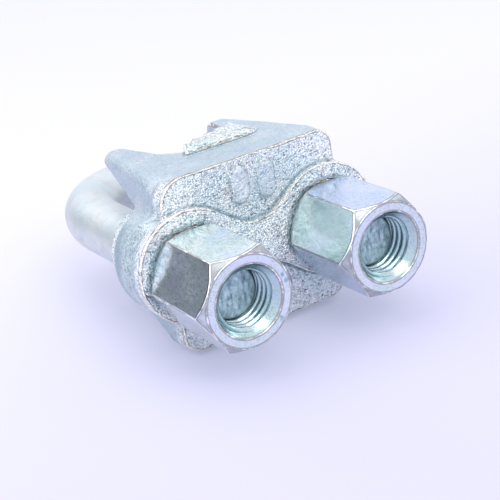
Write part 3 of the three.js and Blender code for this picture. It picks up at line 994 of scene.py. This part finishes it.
# ---- Studio ----
def pale_floor():
    half = 3.0
    near_lilac, far_lilac = (0.365, 0.335, 0.45), (0.48, 0.455, 0.53)
    corners = [(-half, -half, 0), (half, -half, 0), (half, half, 0), (-half, half, 0)]
    mesh = bpy.data.meshes.new("pale_floor")
    mesh.from_pydata(corners, [], [(0, 1, 2, 3)])
    floor = bpy.data.objects.new("pale_floor", mesh)
    bpy.context.scene.collection.objects.link(floor)
    m = Nodes("pale_floor")
    # Painted light falloff: the floor is coloured darker towards the front and paler further back, with
    # faint uneven patches.
    depth = m.add("ShaderNodeSeparateXYZ", Vector=m.place).outputs["Y"]
    uneven = m.span(m.noise(0.3, 2.0), 0.3, 0.7, -0.04, 0.04)
    painted_falloff = m.maths("ADD", m.span(depth, -0.20, 0.22), uneven)
    m.put(m.shader.inputs["Base Color"], m.mix(painted_falloff, near_lilac, far_lilac))
    m.shader.inputs["Roughness"].default_value = 0.8
    m.shader.inputs["Specular IOR Level"].default_value = 0.2
    # The sheet passes light from below, which keeps the shadows pale.
    m.shader.inputs["Emission Color"].default_value = (0.72, 0.80, 1.0, 1)
    m.shader.inputs["Emission Strength"].default_value = 0.32
    mesh.materials.append(m.material)
    floor.location.z = -0.0002


def soft_light(name, azimuth, elevation, distance, size, watts, colour=(1, 1, 1)):
    """A square soft light that looks at the middle of the clip."""
    data = bpy.data.lights.new(name, "AREA")
    data.shape = "SQUARE"
    data.size = size
    data.energy = watts
    data.color = colour
    light = bpy.data.objects.new(name, data)
    a, e = math.radians(azimuth), math.radians(elevation)
    back = Vector((math.sin(a) * math.cos(e), -math.cos(a) * math.cos(e), math.sin(e)))
    light.location = back * distance
    light.rotation_euler = (-back).to_track_quat("-Z", "Y").to_euler()
    light.visible_camera = False
    bpy.context.scene.collection.objects.link(light)


def studio():
    """Three soft lights in a pale room, whose walls the metal reflects."""
    soft_light("overhead", -130, 72, 1.6, 2.0, 10.0)
    soft_light("left_window", -100, 36, 1.6, 1.0, 6.0, (0.93, 0.96, 1.0))
    soft_light("front_fill", 0, 40, 1.6, 0.9, 10.0)
    low_wall, ceiling = (0.72, 0.74, 0.88, 1), (0.95, 0.97, 1.0, 1)
    dark_wall = (0.112, 0.128, 0.148, 1)
    world = bpy.data.worlds.new("studio")
    bpy.context.scene.world = world
    world.use_nodes = True
    tree = world.node_tree
    background = tree.nodes["Background"]
    place = tree.nodes.new("ShaderNodeTexCoord").outputs["Generated"]
    parts = tree.nodes.new("ShaderNodeSeparateXYZ")
    tree.links.new(place, parts.inputs[0])
    ramp = tree.nodes.new("ShaderNodeValToRGB")
    tree.links.new(parts.outputs["Z"], ramp.inputs[0])
    ramp.color_ramp.elements[0].position = 0.0
    ramp.color_ramp.elements[0].color = low_wall
    ramp.color_ramp.elements[1].position = 0.9
    ramp.color_ramp.elements[1].color = ceiling
    # A dark corner of the room behind and to the left, low above the horizon.
    corner = tree.nodes.new("ShaderNodeVectorMath")
    corner.operation = "DISTANCE"
    tree.links.new(place, corner.inputs[0])
    corner.inputs[1].default_value = Vector((-0.60, 0.79, 0.16))
    shade = tree.nodes.new("ShaderNodeMapRange")
    shade.interpolation_type = "SMOOTHSTEP"
    tree.links.new(corner.outputs["Value"], shade.inputs["Value"])
    shade.inputs["From Min"].default_value = 0.20
    shade.inputs["From Max"].default_value = 0.50
    mix = tree.nodes.new("ShaderNodeMix")
    mix.data_type = "RGBA"
    tree.links.new(shade.outputs["Result"], mix.inputs[0])
    mix.inputs[6].default_value = dark_wall
    tree.links.new(ramp.outputs[0], mix.inputs[7])
    tree.links.new(mix.outputs[2], background.inputs["Color"])
    background.inputs["Strength"].default_value = 1.20
    bpy.context.scene.view_settings.view_transform = "Standard"


# ---- Camera, which sees the middle of the seats a little right of and above its centre ----
CAMERA_DISTANCE = 433.0
CAMERA_AZIMUTH = 28.35
CAMERA_ELEVATION = 21.05
CAMERA_ROLL = 9.255
SEAT_RIGHT_OF_CENTRE = 4.45
SEAT_ABOVE_CENTRE = 0.65
LENS = 96.46


def camera():
    a, e, roll = (math.radians(v) for v in (CAMERA_AZIMUTH, CAMERA_ELEVATION, CAMERA_ROLL))
    forward = Vector((math.sin(a) * math.cos(e), math.cos(a) * math.cos(e), -math.sin(e)))
    level = Vector((math.cos(a), -math.sin(a), 0))
    above = level.cross(forward)
    right = level * math.cos(roll) - above * math.sin(roll)
    up = above * math.cos(roll) + level * math.sin(roll)
    seat = Vector((0, SEAT_Y, LEG_Z))
    place = seat - forward * CAMERA_DISTANCE - right * SEAT_RIGHT_OF_CENTRE - up * SEAT_ABOVE_CENTRE
    data = bpy.data.cameras.new("camera")
    data.lens = LENS
    data.sensor_width = 36
    made = bpy.data.objects.new("camera", data)
    axes = Matrix((right, up, -forward)).transposed()
    made.matrix_world = Matrix.Translation(place * MM) @ axes.to_4x4()
    bpy.context.scene.collection.objects.link(made)
    bpy.context.scene.camera = made


camera()
pale_floor()
studio()

saddle_piece().data.materials.append(cast_zinc())
u_bolt_piece().data.materials.append(bar_zinc())

# The first three flats of each nut face the camera and have their own painted reflections.
left_painted_reflections = [(0.90, 1.0, 0.96), (0.80, 0.88, 0.94), (0.72, 0.80, 0.84)] + 3 * [(0.62, 0.84, 0.87)]
right_painted_reflections = [(0.58, 0.68, 0.92), (0.64, 0.80, 0.78), (0.62, 0.72, 0.86)] + 3 * [(0.66, 0.80, 0.90)]
nut_left = nut_piece("plated_nut_left", "nut_left", -1, 62.3)
nut_left.data.materials.append(nut_zinc("nut_left_plate", left_painted_reflections))
nut_right = nut_piece("plated_nut_right", "nut_right", 1, 63.0)
nut_right.data.materials.append(nut_zinc("nut_right_plate", right_painted_reflections))
